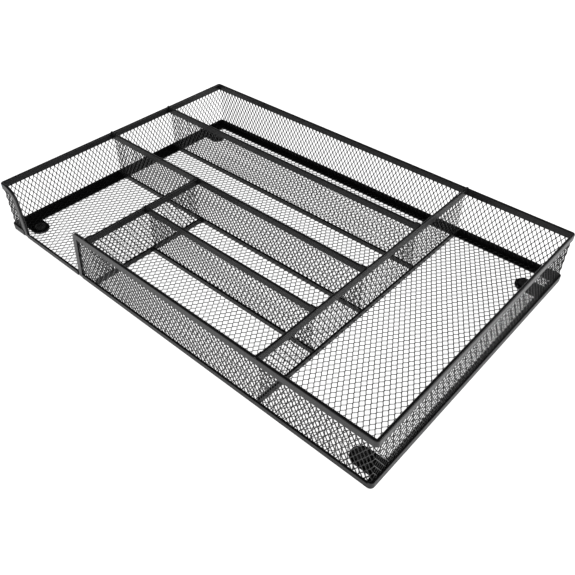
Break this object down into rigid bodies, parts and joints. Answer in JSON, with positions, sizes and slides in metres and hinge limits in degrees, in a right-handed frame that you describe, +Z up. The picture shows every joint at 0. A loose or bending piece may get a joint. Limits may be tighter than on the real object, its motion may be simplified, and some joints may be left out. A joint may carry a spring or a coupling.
{
  "type": "drawer organizer tray",
  "caption": "Shallow rectangular desk-drawer tray of black expanded steel mesh with folded rims, fixed dividers and a notch in the front wall for note paper.",
  "frame": {"origin": "centre of the rectangle the tray stands on, at table level", "axes": "+X along the front wall to the right, +Y from the notched front wall to the back wall, +Z up"},
  "size_m": [0.3828, 0.2498, 0.0475],
  "materials": {
    "mesh": "satin black powder coat on expanded mesh",
    "rim": "satin black powder coat",
    "base": "satin black powder coat",
    "foot": "matt"
  },
  "bodies": {
    "root": {"floor_mesh": "mesh", "left_wall_mesh": "mesh", "back_wall_mesh": "mesh", "right_wall_mesh": "mesh", "front_wall_mesh": "mesh", "front_corner_mesh": "mesh", "left_rim": "rim", "back_rim": "rim", "right_rim": "rim", "front_rim": "rim", "notch_left_rim": "rim", "notch_right_rim": "rim", "notch_sill": "base", "left_base_rail": "base", "back_base_rail": "base", "right_base_rail": "base", "front_base_rail": "base", "rear_divider_mesh": "mesh", "rear_divider_rim": "rim", "rear_divider_hem": "base", "middle_divider_mesh": "mesh", "middle_divider_rim": "rim", "middle_divider_hem": "base", "front_divider_mesh": "mesh", "front_divider_rim": "rim", "front_divider_hem": "base", "cross_divider_mesh": "mesh", "cross_divider_rim": "rim", "cross_divider_hem": "base", "notepad_divider_mesh": "mesh", "notepad_divider_rim": "rim", "notepad_divider_hem": "base", "front_left_foot": "foot", "front_right_foot": "foot", "back_left_foot": "foot", "back_right_foot": "foot"}
  },
  "joints": []
}
